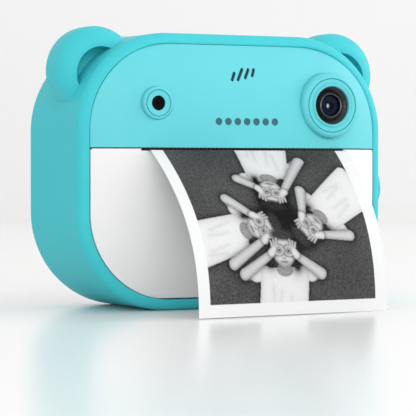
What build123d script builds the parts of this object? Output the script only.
"""Children's instant-print camera with a bear-eared silicone jacket.

Millimetres. X runs to the camera's left-hand side as it faces the subject, which is the viewer's
right, Y runs from the front to the back, Z is up. The origin is the middle of the foot print.
"""

import os
from math import acos, asin, atan2, cos, degrees, hypot, pi, radians, sin, sqrt, tan

from build123d import *

os.makedirs("parts", exist_ok=True)

# ---------------------------------------------------------------- driving dimensions
WIDTH = 88.0            # body across, without the ears
HEIGHT = 71.0
DEPTH = 36.0            # front rim to back lip
CORNER_R = 25.0
JACKET_WALL = 2.2
RIM = 3.0               # width of the rim round the front panels
GAP = 0.12              # clearance round the paper door

FRONT = -DEPTH / 2
BACK = DEPTH / 2
MID_Z = HEIGHT / 2
PANEL_EDGE_Y = FRONT          # the panels' edges are flush with the rim
PANEL_SEAT_Y = FRONT + 2.4    # where the panels' skirts rest
BULGE = 5.7                   # the front panels swell forward by this in the middle
SKIN = 1.8
SLOT_Z = 41.6                 # the paper comes out here
PAPER_X = (-27.3, 29.7)       # 57 mm thermal paper
PAPER_MID = sum(PAPER_X) / 2
BAR_X = (-28.6, 29.8)         # the tear bar
WEB = 0.12
WEB_LIFT = 0.15               # middle of the web off the roll and the platen
PRINT_START = (-23.85, 40.92)
PRINT_REACH = 24.8            # how far the print curls forward by the time it reaches the ground
PRINT_TWIST = 0.145           # the left edge runs out further than the right one

EAR_X, EAR_Z = 35.0, 61.4
EAR_R = 11.4
EAR_Y = (-11.6, 2.4)         # front and back of the ears
EAR_BOWL_R, EAR_BOWL_Z = 7.0, 60.4
EAR_BOWL_DEPTH = 4.3
EAR_ROUND = 5.0

LENS_X, EYE_X, EYES_Z = 25.2, -24.4, 52.8
LENS_FRONT_Y = -24.0
LENS_RING_R, EYE_RING_R = 8.65, 4.15
EYE_FRONT_Y = -22.8
BEZEL_Y = LENS_FRONT_Y + 0.6   # the black bezel's rim lies inside the ring
TRIM_Y = LENS_FRONT_Y + 0.5   # the trim ring stands up from the bezel's cone

HINGE_Y, HINGE_Z = PANEL_EDGE_Y + 0.05, 6.5
HINGE_X = 17.2                # the two gooseneck arms stand this far either side
HINGE_ARM_W, PIN_R = 2.4, 0.5
ROLL_Y, ROLL_Z, ROLL_R = -4.0, 19.0, 12.0
PLATEN_Y, PLATEN_Z, PLATEN_R = -15.0, 37.0, 4.0
PLATEN_ARM_X, PLATEN_ARM_W = (-30.3, 31.2), 1.4
SHAFT_R, BUSH_R = 1.0, 2.0
MODULE = 0.4
GEAR_X = (-32.6, -30.8)       # platen gear and the idler's small wheel
WIDE_GEAR_X = (-34.8, -33.2)  # the idler's large wheel and the pinion
PLATEN_TEETH, IDLER_SMALL, IDLER_LARGE, PINION_TEETH = 18, 14, 36, 12
IDLER_Y = PLATEN_Y + MODULE * (PLATEN_TEETH + IDLER_SMALL) / 2
MOTOR_ANGLE = 25.0
MOTOR_SPAN = MODULE * (IDLER_LARGE + PINION_TEETH) / 2
MOTOR_Y = IDLER_Y + MOTOR_SPAN * cos(radians(MOTOR_ANGLE))
MOTOR_Z = PLATEN_Z + MOTOR_SPAN * sin(radians(MOTOR_ANGLE))

RELEASE_Y, RELEASE_Z = -10.2, 31.1
RELEASE_R = 4.5
RELEASE_TOP = WIDTH / 2 + 2.2  # crown of the button's dome
DOME_R = 11.0
RELEASE_BACK_X = 43.0         # underside of the button's head
SHUTTER_X, SHUTTER_Y = -17.0, 8.0
SPEAKER_X, SPEAKER_Z = 0.9, 59.5
SOUND_SLOT_W = 0.85
# upper and lower ends of the four slanted sound slots
SOUND_SLOTS = [((-2.13, 60.75), (-2.95, 59.05)), ((0.3, 61.8), (-1.25, 59.1)),
               ((2.1, 61.8), (0.93, 59.65)), ((3.68, 61.8), (3.05, 60.25))]
MARK_X, MARK_Z, MARK_PITCH, MARK_R = 0.4, 48.3, 2.7, 0.95
REAR_BUTTON_X = -27.9
REAR_BUTTONS = {name: 52.8 - 7.2 * k for k, name in enumerate(
    ("mode_button", "up_button", "ok_button", "down_button", "print_button"))}
BUTTON_R, BUTTON_FLANGE_R = 2.9, 3.4
SPLIT_Y = 2.0                 # the two shells meet here
REAR_FACE_Y = BACK - 0.4
BOARD_Y = (10.0, 11.2)
LCD_X, LCD_Z = 4.0, 38.5
DECK_Z = (49.2, 50.4)
BULKHEAD_Y = (-14.2, -12.8)
POSTS = [(x, z) for x in (-33.9, 33.9) for z in (18.0, 53.0)]
POST_R = 2.4
USB_Y, USB_Z = 8.35, 27.0
CARD_Y, CARD_Z = 9.05, 42.0
FACE_SCREWS = [(-12.0, 47.5), (12.0, 47.5), (-12.5, 62.5), (14.0, 62.5)]
FRAME_SCREWS = [(-12.5, -2.2), (27.0, -2.2)]
HEAD_SPRING_X = (-8.0, 22.0)
SPRING_LENGTH = 3.95


# ---------------------------------------------------------------- helpers
def bulge(x, z):
    """How far the front swells forward at a point: nothing at the panels' outline."""
    u = abs(x) / (WIDTH / 2 - RIM)
    v = abs(z - MID_Z) / (HEIGHT / 2 - RIM)
    return BULGE * (1 - (u**3.56 + v**3.56) ** (3 / 3.56))


def pillow(back_off, inset, y_back, low=-1.0, high=HEIGHT + 1):
    """Solid between the swollen front, moved back by back_off, and y_back, inside the panel outline."""
    xs = [-46 + 92 * i / 30 for i in range(31)]
    zs = [-2 + 75 * i / 24 for i in range(25)]
    grid = [[(x, PANEL_EDGE_Y - bulge(x, z) + back_off, z) for x in xs] for z in zs]
    front = Face.make_surface_from_array_of_points(grid, tol=0.01, min_deg=3, max_deg=5)
    with BuildPart(mode=Mode.PRIVATE) as block:
        add(Solid.extrude(front, Vector(0, 40, 0)))
        rounded_prism(RIM + inset, FRONT - 10, y_back, Mode.INTERSECT)
        with Locations((0, 0, (low + high) / 2)):
            Box(2 * WIDTH, 4 * DEPTH, high - low, mode=Mode.INTERSECT)
    return block.part


def rounded_prism(inset, y0, y1, mode=Mode.ADD):
    """The body's front outline, drawn in by inset, from y0 to y1."""
    with BuildSketch(Plane.XZ.offset(-y1)) as outline:
        with Locations((0, MID_Z)):
            RectangleRounded(WIDTH - 2 * inset, HEIGHT - 2 * inset, CORNER_R - inset)
    return extrude(outline.sketch, amount=y1 - y0, mode=mode)


def along_y(radius, y0, y1, x, z, mode=Mode.ADD):
    """A cylinder along Y at (x, z) from y0 to y1."""
    with Locations(Location((x, (y0 + y1) / 2, z), (90, 0, 0))):
        return Cylinder(radius, y1 - y0, mode=mode)


def along_x(radius, x0, x1, y, z, mode=Mode.ADD):
    """A cylinder along X at (y, z) from x0 to x1."""
    with Locations(Location(((x0 + x1) / 2, y, z), (0, 90, 0))):
        return Cylinder(radius, x1 - x0, mode=mode)


def along_z(radius, z0, z1, x, y, mode=Mode.ADD):
    """A cylinder along Z at (x, y) from z0 to z1."""
    with Locations((x, y, (z0 + z1) / 2)):
        return Cylinder(radius, z1 - z0, mode=mode)


def block(x, y, z, mode=Mode.ADD):
    """A box from pairs of limits."""
    with Locations(((x[0] + x[1]) / 2, (y[0] + y[1]) / 2, (z[0] + z[1]) / 2)):
        return Box(x[1] - x[0], y[1] - y[0], z[1] - z[0], mode=mode)


def screen_prism(width, height, corner, y0, y1, mode=Mode.ADD):
    """A rounded rectangle centred on the screen, from y0 to y1."""
    with BuildSketch(Plane.XZ.offset(-y1)) as outline:
        with Locations((LCD_X, LCD_Z)):
            RectangleRounded(width, height, corner)
    return extrude(outline.sketch, amount=y1 - y0, mode=mode)


def turned(points, x, z, mode=Mode.ADD):
    """A turned piece about an axis along Y through (x, z), from (radius, y) points."""
    with BuildSketch(Plane(origin=(x, 0, z), x_dir=(1, 0, 0), z_dir=(0, 0, 1))) as profile:
        Polygon(*points, align=None)
    return revolve(profile.sketch, axis=Axis((x, 0, z), (0, 1, 0)), mode=mode)


def gear_outline(teeth, phase, backlash=0.05):
    """Closed involute outline in a YZ sketch; phase is the direction of one tooth in degrees."""
    pitch = MODULE * teeth / 2
    base = pitch * cos(radians(20))
    tip = pitch + 0.92 * MODULE
    root = pitch - 1.2 * MODULE
    half = pi / (2 * teeth) - backlash / (2 * pitch)
    inv_pitch = tan(radians(20)) - radians(20)

    def half_angle(r):
        pressure = acos(min(1.0, base / r))
        return half + inv_pitch - (tan(pressure) - pressure)

    start = max(root, base)
    radii = [start + (tip - start) * k / 4 for k in range(5)]
    points = []
    for k in range(teeth):
        middle = radians(phase) + 2 * pi * k / teeth
        flank = [(root, half_angle(start))] + [(r, half_angle(r)) for r in radii]
        for r, a in flank:
            points.append((r * cos(middle - a), r * sin(middle - a)))
        for r, a in reversed(flank):
            points.append((r * cos(middle + a), r * sin(middle + a)))
    clean = [points[0]]
    for p in points[1:]:
        if hypot(p[0] - clean[-1][0], p[1] - clean[-1][1]) > 1e-4:
            clean.append(p)
    return clean


def gear(teeth, phase, x0, x1, y, z):
    """Spur gear about an axis along X."""
    with BuildSketch(Plane.YZ.offset(x0)) as profile:
        with Locations((y, z)):
            Polygon(*gear_outline(teeth, phase), align=None)
    return extrude(profile.sketch, amount=x1 - x0)


def slab_yz(points, x0, x1, mode=Mode.ADD):
    """A plate cut to a polygon in YZ, from x0 to x1."""
    with BuildSketch(Plane.YZ.offset(x0)) as profile:
        Polygon(*points, align=None)
    return extrude(profile.sketch, amount=x1 - x0, mode=mode)


def coil_spring(radius, wire, pitch, height):
    """A round-wire compression spring standing on the origin along Z."""
    path = Helix(pitch=pitch, height=height, radius=radius)
    with BuildPart(mode=Mode.PRIVATE) as spring:
        with BuildLine():
            add(path)
        with BuildSketch(Plane(origin=path @ 0, z_dir=path % 0)):
            Circle(wire / 2)
        sweep(is_frenet=True)
    return spring.part


def finish(piece, label):
    """Label a finished piece and write it to its own file."""
    piece.part.label = label
    export_step(piece.part, "parts/" + label + ".step")


# ---------------------------------------------------------------- silicone jacket with ears
with BuildPart() as silicone_jacket:
    rounded_prism(0, FRONT, BACK)
    fillet(silicone_jacket.faces().sort_by(Axis.Y)[0].edges(), 2.6)
    fillet(silicone_jacket.faces().sort_by(Axis.Y)[-1].edges(), 4.0)
    for side in (-1, 1):
        with BuildPart(mode=Mode.PRIVATE) as ear:
            along_y(EAR_R, *EAR_Y, side * EAR_X, EAR_Z)
            fillet(ear.edges().filter_by(GeomType.CIRCLE), EAR_ROUND)
            with BuildPart(mode=Mode.PRIVATE) as bowl:
                along_y(EAR_BOWL_R, FRONT, EAR_Y[0] + EAR_BOWL_DEPTH, side * EAR_X, EAR_BOWL_Z)
                fillet(bowl.faces().sort_by(Axis.Y)[-1].edges(), 2.4)
            add(bowl.part, mode=Mode.SUBTRACT)
        add(ear.part)
    rounded_prism(JACKET_WALL, PANEL_SEAT_Y, BACK - 1.6, Mode.SUBTRACT)
    rounded_prism(RIM - GAP, FRONT - 1, PANEL_SEAT_Y, Mode.SUBTRACT)
    rounded_prism(6.0, BACK - 1.6, BACK + 1, Mode.SUBTRACT)
    lip = silicone_jacket.faces().filter_by(Axis.Y).sort_by(Axis.Y)[0]
    fillet(lip.inner_wires()[0].edges(), 0.4)
    with BuildPart(mode=Mode.PRIVATE) as collar:
        along_x(RELEASE_R + 1.3, WIDTH / 2 - 2.0, WIDTH / 2 + 1.2, RELEASE_Y, RELEASE_Z)
        fillet(collar.faces().sort_by(Axis.X)[-1].edges(), 1.0)
    add(collar.part)
    along_x(RELEASE_R + 0.12, 38, 48, RELEASE_Y, RELEASE_Z, Mode.SUBTRACT)
    with BuildSketch(Plane.YZ.offset(38)):
        with Locations((USB_Y, USB_Z)):
            SlotOverall(12.0, 5.6, rotation=90)
        with Locations((CARD_Y, CARD_Z)):
            SlotOverall(14.0, 3.2, rotation=90)
    extrude(amount=12, mode=Mode.SUBTRACT)
    along_z(4.6, HEIGHT - 4, HEIGHT + 2, SHUTTER_X, SHUTTER_Y, Mode.SUBTRACT)
finish(silicone_jacket, "silicone_jacket")

# ---------------------------------------------------------------- hard shells
SHELL_OUT = JACKET_WALL + 0.1
SHELL_IN = SHELL_OUT + 1.6

with BuildPart() as front_shell:
    rounded_prism(SHELL_OUT, PANEL_SEAT_Y, SPLIT_Y)
    rounded_prism(SHELL_IN, PANEL_SEAT_Y - 1, SPLIT_Y + 1, Mode.SUBTRACT)
    with BuildPart(mode=Mode.PRIVATE) as inner_walls:
        block((-45, 45), BULKHEAD_Y, (SLOT_Z + 2.6, HEIGHT))
        block((-45, 45), (-6.0, 1.5), DECK_Z)
        for post_x, post_z in POSTS:
            along_y(POST_R, -8, SPLIT_Y, post_x, post_z)
            outward = 1 if post_z > MID_Z else -1
            block((min(post_x, 1.3 * post_x), max(post_x, 1.3 * post_x)), (-8, SPLIT_Y),
                  (post_z - 0.8, post_z + 0.8))
            block((post_x - 0.8, post_x + 0.8), (-8, SPLIT_Y),
                  (min(post_z, post_z + 9 * outward), max(post_z, post_z + 9 * outward)))
        rounded_prism(SHELL_IN - 0.05, PANEL_SEAT_Y, SPLIT_Y, Mode.INTERSECT)
    add(inner_walls.part)
    # gooseneck hinge arms, which reach over the door's lower edge to the hinge pins
    goose = [(0, 0), (3.7, 3.7), (5.4, 2.0), (5.4, -3.2)]
    for side in (-1, 1):
        with BuildSketch(Plane.YZ.offset(side * HINGE_X - HINGE_ARM_W / 2)) as arm:
            with BuildLine():
                Polyline(*[(HINGE_Y + a, HINGE_Z + b) for a, b in goose])
            trace(line_width=1.6)
        extrude(arm.sketch, amount=HINGE_ARM_W)
        along_x(0.95, side * HINGE_X - HINGE_ARM_W / 2, side * HINGE_X + HINGE_ARM_W / 2,
                HINGE_Y, HINGE_Z)
        along_x(PIN_R + 0.05, side * HINGE_X - 2, side * HINGE_X + 2, HINGE_Y, HINGE_Z,
                Mode.SUBTRACT)
    with BuildPart(mode=Mode.PRIVATE) as door_sweep:
        along_x(4.4, -32, 32, HINGE_Y, HINGE_Z)
        for side in (-1, 1):
            block((side * HINGE_X - HINGE_ARM_W / 2, side * HINGE_X + HINGE_ARM_W / 2),
                  (HINGE_Y - 5, HINGE_Y + 5), (HINGE_Z - 0.9, HINGE_Z + 6), Mode.SUBTRACT)
    add(door_sweep.part, mode=Mode.SUBTRACT)
    for post_x, post_z in POSTS:
        along_y(0.8, -6, SPLIT_Y + 1, post_x, post_z, Mode.SUBTRACT)
    along_y(5.2, -16, -12, LENS_X, EYES_Z, Mode.SUBTRACT)
    along_y(1.2, -16, -12, EYE_X, EYES_Z, Mode.SUBTRACT)
    along_y(3.0, -16, -12, SPEAKER_X, SPEAKER_Z, Mode.SUBTRACT)
    for screw_x, screw_z in FACE_SCREWS:
        along_y(1.1, -16, -12, screw_x, screw_z, Mode.SUBTRACT)
    for screw_x, screw_y in FRAME_SCREWS:
        along_z(0.8, DECK_Z[0] - 1, DECK_Z[1] + 1, screw_x, screw_y, Mode.SUBTRACT)
    along_x(2.6, 36, 44, RELEASE_Y, RELEASE_Z, Mode.SUBTRACT)
finish(front_shell, "front_shell")

with BuildPart() as rear_shell:
    rounded_prism(SHELL_OUT, SPLIT_Y, BACK - 1.7)
    rounded_prism(6.25, BACK - 3, REAR_FACE_Y)
    fillet(rear_shell.faces().sort_by(Axis.Y)[-1].edges(), 0.5)
    rounded_prism(SHELL_IN, SPLIT_Y - 1, BACK - 3.3, Mode.SUBTRACT)
    rounded_prism(7.8, BACK - 4, REAR_FACE_Y - 1.7, Mode.SUBTRACT)
    with BuildPart(mode=Mode.PRIVATE) as rear_walls:
        for post_x, post_z in POSTS:
            along_y(POST_R, SPLIT_Y, REAR_FACE_Y - 1.3, post_x, post_z)
        for rib_x in (SHUTTER_X - 6.2, SHUTTER_X + 5.4):
            block((rib_x, rib_x + 0.8), (SPLIT_Y + 0.6, BACK - 3), (59.2, 68.0))
        rounded_prism(SHELL_IN - 0.05, SPLIT_Y, BACK - 1.7, Mode.INTERSECT)
    add(rear_walls.part)
    for post_x, post_z in POSTS:
        along_y(1.1, 0, BACK + 1, post_x, post_z, Mode.SUBTRACT)
        along_y(2.0, REAR_FACE_Y - 1.6, BACK + 1, post_x, post_z, Mode.SUBTRACT)
    screen_prism(48.0, 37.0, 3.0, REAR_FACE_Y - 1.3, BACK + 1, Mode.SUBTRACT)
    screen_prism(42.4, 32.0, 1.0, REAR_FACE_Y - 6, BACK + 1, Mode.SUBTRACT)
    for button_z in REAR_BUTTONS.values():
        along_y(BUTTON_R + 0.08, REAR_FACE_Y - 6, BACK + 1, REAR_BUTTON_X, button_z, Mode.SUBTRACT)
    along_z(4.28, 64, HEIGHT, SHUTTER_X, SHUTTER_Y, Mode.SUBTRACT)
    block((37, 45), (6.6, 10.1), (USB_Z - 4.6, USB_Z + 4.6), Mode.SUBTRACT)
    block((37, 45), (7.9, 10.2), (CARD_Z - 6.8, CARD_Z + 6.8), Mode.SUBTRACT)
finish(rear_shell, "rear_shell")

# ---------------------------------------------------------------- upper face plate
with BuildPart() as face_plate:
    add(pillow(0, 0.04 - GAP, PANEL_SEAT_Y, SLOT_Z))
    add(pillow(SKIN, 1.4, PANEL_SEAT_Y + 1, SLOT_Z + 1.6), mode=Mode.SUBTRACT)
    with BuildPart(mode=Mode.PRIVATE) as bosses:
        for screw_x, screw_z in FACE_SCREWS:
            along_y(1.9, -24, BULKHEAD_Y[0], screw_x, screw_z)
        add(pillow(0.6, 0.6, BULKHEAD_Y[0], SLOT_Z), mode=Mode.INTERSECT)
    add(bosses.part)
    for screw_x, screw_z in FACE_SCREWS:
        along_y(0.8, -17.6, -10, screw_x, screw_z, Mode.SUBTRACT)
    along_y(LENS_RING_R + 0.05, -30, -10, LENS_X, EYES_Z, Mode.SUBTRACT)
    along_y(EYE_RING_R + 0.05, -30, -10, EYE_X, EYES_Z, Mode.SUBTRACT)
    # room for the platen gear's teeth
    block((-33.4, -30.4), (-18.6, PANEL_SEAT_Y + 1), (SLOT_Z - 1, SLOT_Z + 1.0), Mode.SUBTRACT)
    # four slanted sound slots
    for top, bottom in SOUND_SLOTS:
        with BuildSketch(Plane.XZ.offset(10)) as sound_slot:
            with Locations(((top[0] + bottom[0]) / 2, (top[1] + bottom[1]) / 2)):
                run = (top[0] - bottom[0], top[1] - bottom[1])
                SlotCenterToCenter(hypot(*run), SOUND_SLOT_W, rotation=degrees(atan2(run[1], run[0])))
        extrude(sound_slot.sketch, amount=20, mode=Mode.SUBTRACT)
    # a plain row of shallow dimples above the paper slot
    for k in range(7):
        mark_x = MARK_X + MARK_PITCH * (k - 3)
        mark_y = PANEL_EDGE_Y - bulge(mark_x, MARK_Z)
        along_y(MARK_R, mark_y - 3, mark_y + 0.45, mark_x, MARK_Z, Mode.SUBTRACT)
finish(face_plate, "face_plate")

# ---------------------------------------------------------------- paper door
DOOR_TOP = SLOT_Z - 0.3

with BuildPart() as paper_door:
    add(pillow(0, 0, PANEL_SEAT_Y - 0.2, RIM + 0.25, DOOR_TOP))
    with BuildPart(mode=Mode.PRIVATE) as door_corners:
        with BuildSketch(Plane.XZ.offset(10)):
            with Locations((0, 0)):
                RectangleRounded(WIDTH - 2 * RIM, 2 * DOOR_TOP, 0.7)
        extrude(amount=30)
    add(door_corners.part, mode=Mode.INTERSECT)
    add(pillow(SKIN, 1.5, PANEL_SEAT_Y + 1, RIM + 2, DOOR_TOP - 1.4), mode=Mode.SUBTRACT)
    block((BAR_X[0] - 0.2, BAR_X[1] + 0.2), (-30, -10), (DOOR_TOP - 0.5, DOOR_TOP + 1),
          Mode.SUBTRACT)
    # knuckles either side of each hinge arm
    for side in (-1, 1):
        for offset_x in (-2.6, 2.6):
            knuckle_x = side * HINGE_X + offset_x
            along_x(1.1, knuckle_x - 1.2, knuckle_x + 1.2, HINGE_Y, HINGE_Z)
            block((knuckle_x - 1.2, knuckle_x + 1.2), (HINGE_Y - 0.9, HINGE_Y + 0.7),
                  (HINGE_Z - 1.0, HINGE_Z + 1.0))
    # arms that carry the platen roller
    for arm_x in PLATEN_ARM_X:
        reach = [(-20.0, PLATEN_Z - 7), (-20.0, PLATEN_Z + 2.6), (PLATEN_Y, PLATEN_Z + 3.4),
                 (PLATEN_Y + 3.4, PLATEN_Z), (PLATEN_Y, PLATEN_Z - 3.4)]
        slab_yz(reach, arm_x, arm_x + PLATEN_ARM_W)
    # latch tongue on the release side
    block((38.0, 39.3), (-17.6, -14.2), (RELEASE_Z - 1.8, RELEASE_Z + 1.8))
    for arm_x in PLATEN_ARM_X:
        along_x(BUSH_R, arm_x - 0.5, arm_x + 1.9, PLATEN_Y, PLATEN_Z, Mode.SUBTRACT)
    along_x(PLATEN_R + 0.4, -28.7, 31.1, PLATEN_Y, PLATEN_Z, Mode.SUBTRACT)
    block((-28.7, 31.1), (-19.4, -10), (PLATEN_Z + 1, SLOT_Z), Mode.SUBTRACT)
    along_x(4.25, -33.2, -30.5, PLATEN_Y, PLATEN_Z, Mode.SUBTRACT)
    for side in (-1, 1):
        arm_x = side * HINGE_X
        along_x(1.25, arm_x - 1.4, arm_x + 1.4, HINGE_Y, HINGE_Z, Mode.SUBTRACT)
        slab_yz([(HINGE_Y, HINGE_Z - 1.5), (HINGE_Y + 8, HINGE_Z - 9.5), (HINGE_Y + 8, HINGE_Z + 9.5),
                 (HINGE_Y, HINGE_Z + 1.5)], arm_x - 1.4, arm_x + 1.4, Mode.SUBTRACT)
        along_x(PIN_R, arm_x - 4.2, arm_x + 4.2, HINGE_Y, HINGE_Z, Mode.SUBTRACT)
finish(paper_door, "paper_door")

with BuildPart() as hinge_pins:
    for side in (-1, 1):
        along_x(PIN_R, side * HINGE_X - 3.8, side * HINGE_X + 3.8, HINGE_Y, HINGE_Z)
finish(hinge_pins, "hinge_pins")

with BuildPart() as tear_bar:
    with BuildPart(mode=Mode.PRIVATE) as bar_space:
        block(BAR_X, (-30, -19.6), (SLOT_Z - 0.4, SLOT_Z))
    add(pillow(0.35, 0, -10, SLOT_Z - 0.4, SLOT_Z))
    add(bar_space.part, mode=Mode.INTERSECT)
    teeth = 50
    pitch = (BAR_X[1] - BAR_X[0]) / teeth
    for k in range(teeth):
        tooth_x = BAR_X[0] + (k + 0.5) * pitch
        edge_y = PANEL_EDGE_Y - bulge(tooth_x, SLOT_Z) + 0.35
        with BuildSketch(Plane.XY.offset(SLOT_Z - 0.4)) as notch:
            Polygon((tooth_x - 0.25, edge_y - 1), (tooth_x + 0.25, edge_y - 1),
                    (tooth_x + 0.25, edge_y), (tooth_x, edge_y + 0.4), (tooth_x - 0.25, edge_y),
                    align=None)
        extrude(notch.sketch, amount=0.4, mode=Mode.SUBTRACT)
finish(tear_bar, "tear_bar")

# ---------------------------------------------------------------- printer
with BuildPart() as platen_roller:
    along_x(PLATEN_R, PAPER_X[0] - 0.5, PAPER_X[1] + 0.5, PLATEN_Y, PLATEN_Z)
    along_x(1.5, -40, 40, PLATEN_Y, PLATEN_Z, Mode.SUBTRACT)
finish(platen_roller, "platen_roller")

with BuildPart() as platen_shaft:
    along_x(1.5, PAPER_X[0] - 0.5, PAPER_X[1] + 0.5, PLATEN_Y, PLATEN_Z)
    along_x(SHAFT_R, -33.2, 33.2, PLATEN_Y, PLATEN_Z)
finish(platen_shaft, "platen_shaft")

with BuildPart() as platen_bushes:
    for arm_x in PLATEN_ARM_X:
        along_x(BUSH_R, arm_x, arm_x + PLATEN_ARM_W, PLATEN_Y, PLATEN_Z)
        along_x(SHAFT_R + 0.05, arm_x - 1, arm_x + 2, PLATEN_Y, PLATEN_Z, Mode.SUBTRACT)
finish(platen_bushes, "platen_bushes")

with BuildPart() as platen_gear:
    gear(PLATEN_TEETH, 0, *GEAR_X, PLATEN_Y, PLATEN_Z)
    along_x(SHAFT_R, -34, -30, PLATEN_Y, PLATEN_Z, Mode.SUBTRACT)
finish(platen_gear, "platen_gear")

with BuildPart() as idler_gear:
    gear(IDLER_SMALL, 180 + 180 / IDLER_SMALL, *GEAR_X, IDLER_Y, PLATEN_Z)
    along_x(2.2, WIDE_GEAR_X[1], GEAR_X[0], IDLER_Y, PLATEN_Z)
    gear(IDLER_LARGE, MOTOR_ANGLE, *WIDE_GEAR_X, IDLER_Y, PLATEN_Z)
    along_x(1.05, -36, -30, IDLER_Y, PLATEN_Z, Mode.SUBTRACT)
finish(idler_gear, "idler_gear")

with BuildPart() as idler_pin:
    along_x(1.0, -35.4, -29.2, IDLER_Y, PLATEN_Z)
    along_x(1.6, -36.0, -35.4, IDLER_Y, PLATEN_Z)
finish(idler_pin, "idler_pin")

with BuildPart() as motor_pinion:
    gear(PINION_TEETH, MOTOR_ANGLE + 180 + 180 / PINION_TEETH, *WIDE_GEAR_X, MOTOR_Y, MOTOR_Z)
    along_x(0.75, WIDE_GEAR_X[0], -29.3, MOTOR_Y, MOTOR_Z)
finish(motor_pinion, "motor_pinion")

with BuildPart() as stepper_motor:
    along_x(6.0, -29.2, -15.2, MOTOR_Y, MOTOR_Z)
    fillet(stepper_motor.edges().filter_by(GeomType.CIRCLE), 0.4)
    along_x(2.0, -15.2, -14.4, MOTOR_Y, MOTOR_Z)
    along_x(0.85, -30, -26, MOTOR_Y, MOTOR_Z, Mode.SUBTRACT)
finish(stepper_motor, "stepper_motor")

with BuildPart() as printer_frame:
    cheek = [(-11.2, 31.6), (8.0, 34.5), (8.0, DECK_Z[0]), (-11.2, DECK_Z[0])]
    for cheek_x in (-30.2, 31.4):
        slab_yz(cheek, cheek_x, cheek_x + 1.0)
    block((-30.2, 32.4), (-6.0, 8.0), (DECK_Z[0] - 1.0, DECK_Z[0]))
    along_x(1.0, -31, -28, IDLER_Y, PLATEN_Z, Mode.SUBTRACT)
    along_x(1.2, -31, -28, MOTOR_Y, MOTOR_Z, Mode.SUBTRACT)
    for screw_x, screw_y in FRAME_SCREWS:
        along_z(1.1, 40, 60, screw_x, screw_y, Mode.SUBTRACT)
finish(printer_frame, "printer_frame")

with BuildPart() as print_head:
    block((PAPER_X[0] - 0.6, PAPER_X[1] + 0.6), (-10.65, -9.85), (33.6, 40.4))
    with BuildSketch(Plane.YZ.offset(PAPER_X[0])):
        with Locations((-10.65, PLATEN_Z)):
            Rectangle(0.24, 0.8)
    extrude(amount=PAPER_X[1] - PAPER_X[0])
finish(print_head, "print_head")

with BuildPart() as head_bracket:
    block((-29.0, 31.2), (-9.85, -8.65), (33.0, 42.6))
    block((-29.0, 31.2), (-9.85, -8.65), (42.6, 43.8))
    block((-13.0, 31.2), (-9.85, -3.2), (42.6, 43.8))
    block((-29.2, -29.0), (-9.85, -8.65), (41.0, 42.6))
    block((31.2, 31.4), (-9.85, -8.65), (41.0, 42.6))
finish(head_bracket, "head_bracket")

with BuildPart() as head_springs:
    for spring_x in HEAD_SPRING_X:
        spring = coil_spring(1.3, 0.35, 1.0, SPRING_LENGTH)
        add(Pos(spring_x, -4.6, DECK_Z[0] - 1.21) * Rot(180, 0, 0) * spring)
finish(head_springs, "head_springs")

with BuildPart() as paper_roll:
    along_x(ROLL_R, *PAPER_X, ROLL_Y, ROLL_Z)
    along_x(6.2, -40, 40, ROLL_Y, ROLL_Z, Mode.SUBTRACT)
finish(paper_roll, "paper_roll")

with BuildPart() as roll_core:
    along_x(6.2, *PAPER_X, ROLL_Y, ROLL_Z)
    along_x(4.0, -40, 40, ROLL_Y, ROLL_Z, Mode.SUBTRACT)
finish(roll_core, "roll_core")

with BuildPart() as paper_bin:
    along_x(13.1, PAPER_X[0] - 1.4, PAPER_X[1] + 1.4, ROLL_Y, ROLL_Z)
    along_x(12.3, PAPER_X[0] - 0.4, PAPER_X[1] + 0.4, ROLL_Y, ROLL_Z, Mode.SUBTRACT)
    # the tub is open from low at the front, over the top, to high at the back
    wedge = [(ROLL_Y + 30 * cos(radians(a)), ROLL_Z + 30 * sin(radians(a)))
             for a in range(40, 250, 15)] + [(ROLL_Y, ROLL_Z)]
    slab_yz(wedge, PAPER_X[0] - 2, PAPER_X[1] + 2, Mode.SUBTRACT)
    for x0, x1 in ((PAPER_X[0] - 1.4, PAPER_X[0] - 0.4), (PAPER_X[1] + 0.4, PAPER_X[1] + 1.4)):
        along_x(8.0, x0, x1, ROLL_Y, ROLL_Z)
        slab_yz([(ROLL_Y - 6, ROLL_Z), (ROLL_Y + 6, ROLL_Z), (ROLL_Y + 10, ROLL_Z - 11),
                 (ROLL_Y + 10, 3.9), (ROLL_Y - 3, 3.9), (ROLL_Y - 3, ROLL_Z - 10)], x0, x1)
    along_x(3.92, PAPER_X[0] - 0.4, PAPER_X[0] + 3.0, ROLL_Y, ROLL_Z)
    along_x(3.92, PAPER_X[1] - 3.0, PAPER_X[1] + 0.4, ROLL_Y, ROLL_Z)
    rounded_prism(SHELL_IN + 0.1, FRONT, BACK, Mode.INTERSECT)
finish(paper_bin, "paper_bin")

# ---------------------------------------------------------------- paper
def web_middle():
    """Middle line of the paper from the roll, behind the platen, over it and out of the slot."""
    span_y, span_z = PLATEN_Y - ROLL_Y, PLATEN_Z - ROLL_Z
    lean = atan2(span_z, span_y) - asin((ROLL_R + PLATEN_R + 2 * WEB_LIFT) / hypot(span_y, span_z))
    side = (sin(lean), -cos(lean))
    start = (ROLL_Y - (ROLL_R + WEB_LIFT) * side[0], ROLL_Z - (ROLL_R + WEB_LIFT) * side[1])
    wrap_from, wrap_to = lean - pi / 2, radians(91.6)
    reach = PLATEN_R + WEB_LIFT
    wrap = [(PLATEN_Y + reach * cos(a), PLATEN_Z + reach * sin(a))
            for a in (wrap_from + (wrap_to - wrap_from) * k / 12 for k in range(13))]
    return [start] + wrap + [PRINT_START]


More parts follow.
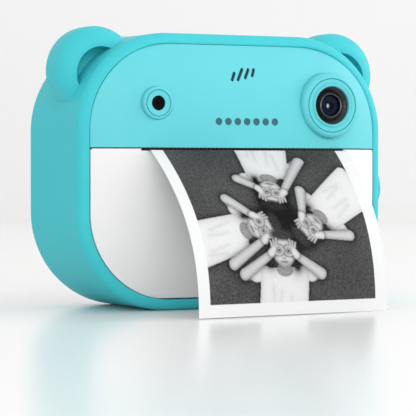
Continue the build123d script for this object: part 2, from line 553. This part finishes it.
def print_middle(x):
    """Middle line of the print at a place across it, from the slot to the ground."""
    line = [(PRINT_START[0] - 0.03, PRINT_START[1])]
    for k in range(1, 10):
        z = SLOT_Z * (1 - (k / 9) ** 1.15) + 0.2 * k / 9
        forward = PRINT_REACH * (1 - (z / SLOT_Z) ** 2.4)
        line.append((-23.0 - forward * (1 - PRINT_TWIST * (x - PAPER_MID) / 28.5), z))
    return line


def thick_line(middle):
    """The two sides of a strip of paper along a middle line."""
    sides = ([], [])
    for k, (y, z) in enumerate(middle):
        y0, z0 = middle[max(k - 1, 0)]
        y1, z1 = middle[min(k + 1, len(middle) - 1)]
        run = hypot(y1 - y0, z1 - z0)
        for side, sign in zip(sides, (-1, 1)):
            side.append((y + sign * WEB / 2 * (z1 - z0) / run, z - sign * WEB / 2 * (y1 - y0) / run))
    return sides


with BuildPart() as paper_web:
    left, right = thick_line(web_middle())
    slab_yz(left + right[::-1], *PAPER_X)
finish(paper_web, "paper_web")

sections = []
for edge_x in PAPER_X:
    front_line, back_line = thick_line(print_middle(edge_x))
    with BuildSketch(Plane.YZ.offset(edge_x)) as section:
        with BuildLine():
            Spline(*front_line)
            Line(front_line[-1], back_line[-1])
            Spline(*back_line[::-1])
            Line(back_line[0], front_line[0])
        make_face()
    sections.append(section.sketch.faces()[0])
with BuildPart() as paper_print:
    loft(sections, ruled=True)
finish(paper_print, "paper_print")

# ---------------------------------------------------------------- camera eye and microphone eye
with BuildPart() as lens_ring:
    turned([(5.0, LENS_FRONT_Y - 0.05), (5.2, LENS_FRONT_Y - 0.25), (5.5, LENS_FRONT_Y - 0.25),
            (5.7, LENS_FRONT_Y + 0.1), (5.85, LENS_FRONT_Y + 0.1), (6.0, LENS_FRONT_Y),
            (6.88, LENS_FRONT_Y), (6.88, LENS_FRONT_Y + 0.5), (7.12, LENS_FRONT_Y + 0.5),
            (7.12, LENS_FRONT_Y), (LENS_RING_R, LENS_FRONT_Y), (LENS_RING_R, -16.6), (9.4, -16.6),
            (9.4, -15.8), (LENS_RING_R, -15.8), (LENS_RING_R, BULKHEAD_Y[0]),
            (5.0, BULKHEAD_Y[0])], LENS_X, EYES_Z)
    rims = lens_ring.edges().filter_by(GeomType.CIRCLE)
    rims = rims.filter_by(lambda e: abs(e.radius - LENS_RING_R) < 0.01).sort_by(Axis.Y)
    fillet(rims[0], 1.4)
finish(lens_ring, "lens_ring")

with BuildPart() as lens_bezel:
    turned([(4.65, BEZEL_Y), (4.95, BEZEL_Y), (4.95, -15.0), (3.25, -15.0),
            (3.25, BEZEL_Y + 1.0), (3.5, BEZEL_Y + 1.0)], LENS_X, EYES_Z)
finish(lens_bezel, "lens_bezel")

with BuildPart() as lens_trim_ring:
    turned([(2.9, TRIM_Y + 0.15), (3.05, TRIM_Y), (3.2, TRIM_Y + 0.15), (3.2, TRIM_Y + 3.0),
            (2.9, TRIM_Y + 3.0)], LENS_X, EYES_Z)
finish(lens_trim_ring, "lens_trim_ring")

with BuildPart() as lens_glass:
    along_y(2.85, TRIM_Y + 0.3, TRIM_Y + 3.0, LENS_X, EYES_Z)
    with Locations((LENS_X, TRIM_Y + 0.3 + 7.0, EYES_Z)):
        Sphere(7.0, mode=Mode.INTERSECT)
finish(lens_glass, "lens_glass")

with BuildPart() as lens_barrel:
    along_y(3.2, TRIM_Y + 3.1, BULKHEAD_Y[1], LENS_X, EYES_Z)
    along_y(2.0, TRIM_Y + 3.0, TRIM_Y + 8, LENS_X, EYES_Z, Mode.SUBTRACT)
    block((LENS_X - 5.75, LENS_X + 5.75), (BULKHEAD_Y[1], -10.2), (EYES_Z - 5.75, EYES_Z + 5.75))
finish(lens_barrel, "lens_barrel")

with BuildPart() as sensor_board:
    block((LENS_X - 6, LENS_X + 6), (-10.2, -9.2), (EYES_Z - 6.2, EYES_Z + 6.2))
finish(sensor_board, "sensor_board")

with BuildPart() as eye_ring:
    turned([(1.9, EYE_FRONT_Y + 0.1), (3.2, EYE_FRONT_Y), (3.2, EYE_FRONT_Y + 0.4),
            (3.45, EYE_FRONT_Y + 0.4), (3.45, EYE_FRONT_Y), (EYE_RING_R, EYE_FRONT_Y),
            (EYE_RING_R, -17.0), (4.7, -17.0), (4.7, -16.2), (1.9, -16.2)], EYE_X, EYES_Z)
    rims = eye_ring.edges().filter_by(GeomType.CIRCLE)
    rims = rims.filter_by(lambda e: abs(e.radius - EYE_RING_R) < 0.01).sort_by(Axis.Y)
    fillet(rims[0], 0.5)
finish(eye_ring, "eye_ring")

with BuildPart() as eye_window:
    along_y(1.87, EYE_FRONT_Y + 0.4, EYE_FRONT_Y + 1.6, EYE_X, EYES_Z)
    along_y(0.35, EYE_FRONT_Y, EYE_FRONT_Y + 2, EYE_X, EYES_Z, Mode.SUBTRACT)
finish(eye_window, "eye_window")

with BuildPart() as microphone:
    along_y(2.3, BULKHEAD_Y[0] - 1.6, BULKHEAD_Y[0], EYE_X, EYES_Z)
finish(microphone, "microphone")

with BuildPart() as speaker:
    along_y(5.0, BULKHEAD_Y[0] - 1.6, BULKHEAD_Y[0], SPEAKER_X, SPEAKER_Z)
    along_y(4.2, BULKHEAD_Y[0] - 2.6, BULKHEAD_Y[0] - 1.6, SPEAKER_X, SPEAKER_Z)
    fillet(speaker.edges().filter_by(GeomType.CIRCLE).sort_by(Axis.Y)[0], 0.5)
    along_y(2.6, BULKHEAD_Y[0], BULKHEAD_Y[1], SPEAKER_X, SPEAKER_Z)
finish(speaker, "speaker")

# ---------------------------------------------------------------- electronics
with BuildPart() as main_board:
    block((-38, 38), BOARD_Y, (8.5, 59))
    rounded_prism(5.6, BOARD_Y[0], BOARD_Y[1], Mode.INTERSECT)
    for post_x, post_z in POSTS:
        along_y(3.0, 0, BACK, post_x, post_z, Mode.SUBTRACT)
finish(main_board, "main_board")

with BuildPart() as board_chips:
    for chip_x, chip_z, chip_w, chip_h, chip_t in (
            (3.0, 44.0, 10.0, 10.0, 1.0), (-11.0, 43.0, 6.0, 5.0, 0.9), (17.0, 42.0, 5.0, 6.0, 0.9),
            (-9.0, 53.5, 5.0, 3.2, 1.4), (14.0, 54.0, 3.2, 2.5, 1.2), (-24.0, 38.0, 4.0, 4.0, 0.9)):
        block((chip_x - chip_w / 2, chip_x + chip_w / 2), (BOARD_Y[0] - chip_t, BOARD_Y[0]),
              (chip_z - chip_h / 2, chip_z + chip_h / 2))
finish(board_chips, "board_chips")

with BuildPart() as lcd_panel:
    screen_prism(49.0, 36.6, 0.6, REAR_FACE_Y - 4.2, REAR_FACE_Y - 1.8)
finish(lcd_panel, "lcd_panel")

with BuildPart() as lcd_window:
    screen_prism(47.7, 36.7, 2.85, REAR_FACE_Y - 1.3, REAR_FACE_Y - 0.1)
    fillet(lcd_window.faces().sort_by(Axis.Y)[-1].edges(), 0.3)
finish(lcd_window, "lcd_window")

with BuildPart() as battery:
    block((-20, 16), (-6.0, 0.0), (DECK_Z[1], DECK_Z[1] + 15.2))
    fillet(battery.edges().filter_by(Axis.X), 1.5)
finish(battery, "battery")

with BuildPart() as usb_socket:
    with BuildSketch(Plane.YZ.offset(33.4)):
        with Locations((BOARD_Y[0] - 1.65, USB_Z)):
            RectangleRounded(3.3, 8.9, 1.6)
    extrude(amount=7.3)
    with BuildSketch(Plane.YZ.offset(34.6)):
        with Locations((BOARD_Y[0] - 1.65, USB_Z)):
            RectangleRounded(2.6, 8.3, 1.25)
    extrude(amount=8, mode=Mode.SUBTRACT)
    block((34.6, 40.0), (BOARD_Y[0] - 2.0, BOARD_Y[0] - 1.3), (USB_Z - 3.3, USB_Z + 3.3))
finish(usb_socket, "usb_socket")

with BuildPart() as card_socket:
    block((26.0, 40.4), (BOARD_Y[0] - 1.9, BOARD_Y[0]), (CARD_Z - 6.6, CARD_Z + 6.6))
    block((28.0, 41.0), (BOARD_Y[0] - 1.4, BOARD_Y[0] - 0.5), (CARD_Z - 5.6, CARD_Z + 5.6),
          Mode.SUBTRACT)
finish(card_socket, "card_socket")

# ---------------------------------------------------------------- buttons and switches
with BuildPart() as shutter_button:
    along_z(4.2, 65.3, HEIGHT + 0.6, SHUTTER_X, SHUTTER_Y)
    fillet(shutter_button.faces().sort_by(Axis.Z)[-1].edges(), 0.6)
    along_z(4.9, 64.5, 65.3, SHUTTER_X, SHUTTER_Y)
finish(shutter_button, "shutter_button")

with BuildPart() as shutter_board:
    block((SHUTTER_X - 5.4, SHUTTER_X + 5.4), (3.4, 12.6), (59.6, 60.6))
finish(shutter_board, "shutter_board")

with BuildPart() as shutter_switch:
    block((SHUTTER_X - 3, SHUTTER_X + 3), (SHUTTER_Y - 3, SHUTTER_Y + 3), (60.6, 63.2))
    along_z(1.7, 63.2, 64.0, SHUTTER_X, SHUTTER_Y)
finish(shutter_switch, "shutter_switch")

for button_name, button_z in REAR_BUTTONS.items():
    with BuildPart() as rear_button:
        along_y(BUTTON_R, REAR_FACE_Y - 1.9, REAR_FACE_Y + 0.9, REAR_BUTTON_X, button_z)
        fillet(rear_button.faces().sort_by(Axis.Y)[-1].edges(), 0.5)
        along_y(BUTTON_FLANGE_R, REAR_FACE_Y - 2.7, REAR_FACE_Y - 1.9, REAR_BUTTON_X, button_z)
    finish(rear_button, button_name)

with BuildPart() as rear_switches:
    for button_z in REAR_BUTTONS.values():
        block((REAR_BUTTON_X - 2.6, REAR_BUTTON_X + 2.6), (BOARD_Y[1], BOARD_Y[1] + 2.2),
              (button_z - 2.6, button_z + 2.6))
        along_y(1.4, BOARD_Y[1] + 2.2, BOARD_Y[1] + 3.1, REAR_BUTTON_X, button_z)
finish(rear_switches, "rear_switches")


def dome_x(r):
    """Where the release button's dome is at a radius."""
    return RELEASE_TOP - DOME_R + sqrt(DOME_R**2 - r**2)


with BuildPart() as release_button:
    with BuildSketch(Plane.XY.move(Location((0, RELEASE_Y, RELEASE_Z)))):
        with BuildLine():
            Polyline((RELEASE_TOP, 0), (RELEASE_BACK_X, 0), (RELEASE_BACK_X, RELEASE_R),
                     (dome_x(RELEASE_R), RELEASE_R))
            ThreePointArc((dome_x(RELEASE_R), RELEASE_R), (dome_x(RELEASE_R / 2), RELEASE_R / 2),
                          (RELEASE_TOP, 0))
        make_face()
    revolve(axis=Axis((0, RELEASE_Y, RELEASE_Z), (1, 0, 0)))
    along_x(2.5, 36.6, RELEASE_BACK_X, RELEASE_Y, RELEASE_Z)
    along_x(3.4, 36.6, 37.7, RELEASE_Y, RELEASE_Z)
    block((36.6, 37.7), (-15.2, RELEASE_Y), (RELEASE_Z - 0.8, RELEASE_Z + 0.8))
    block((37.6, 37.9), (-15.2, -14.4), (RELEASE_Z - 0.8, RELEASE_Z + 0.8))
finish(release_button, "release_button")

with BuildPart() as release_spring:
    add(Pos(41.95, RELEASE_Y, RELEASE_Z) * Rot(0, 90, 0) * coil_spring(2.85, 0.22, 0.5, 0.9))
finish(release_spring, "release_spring")

# ---------------------------------------------------------------- screws
with BuildPart() as case_screws:
    for post_x, post_z in POSTS:
        along_y(0.8, -5.5, REAR_FACE_Y - 1.6, post_x, post_z)
        along_y(1.9, REAR_FACE_Y - 1.6, REAR_FACE_Y - 0.4, post_x, post_z)
        for turn in (0, 90):
            with Locations(Location((post_x, REAR_FACE_Y - 0.4, post_z), (0, turn, 0))):
                Box(2.2, 1.2, 0.45, mode=Mode.SUBTRACT)
finish(case_screws, "case_screws")

with BuildPart() as face_screws:
    for screw_x, screw_z in FACE_SCREWS:
        along_y(0.8, -17.4, BULKHEAD_Y[1], screw_x, screw_z)
        along_y(1.7, BULKHEAD_Y[1], BULKHEAD_Y[1] + 1.1, screw_x, screw_z)
finish(face_screws, "face_screws")

with BuildPart() as frame_screws:
    for screw_x, screw_y in FRAME_SCREWS:
        along_z(0.8, DECK_Z[0] - 1, DECK_Z[1] - 0.2, screw_x, screw_y)
        along_z(1.7, DECK_Z[0] - 2.1, DECK_Z[0] - 1, screw_x, screw_y)
finish(frame_screws, "frame_screws")
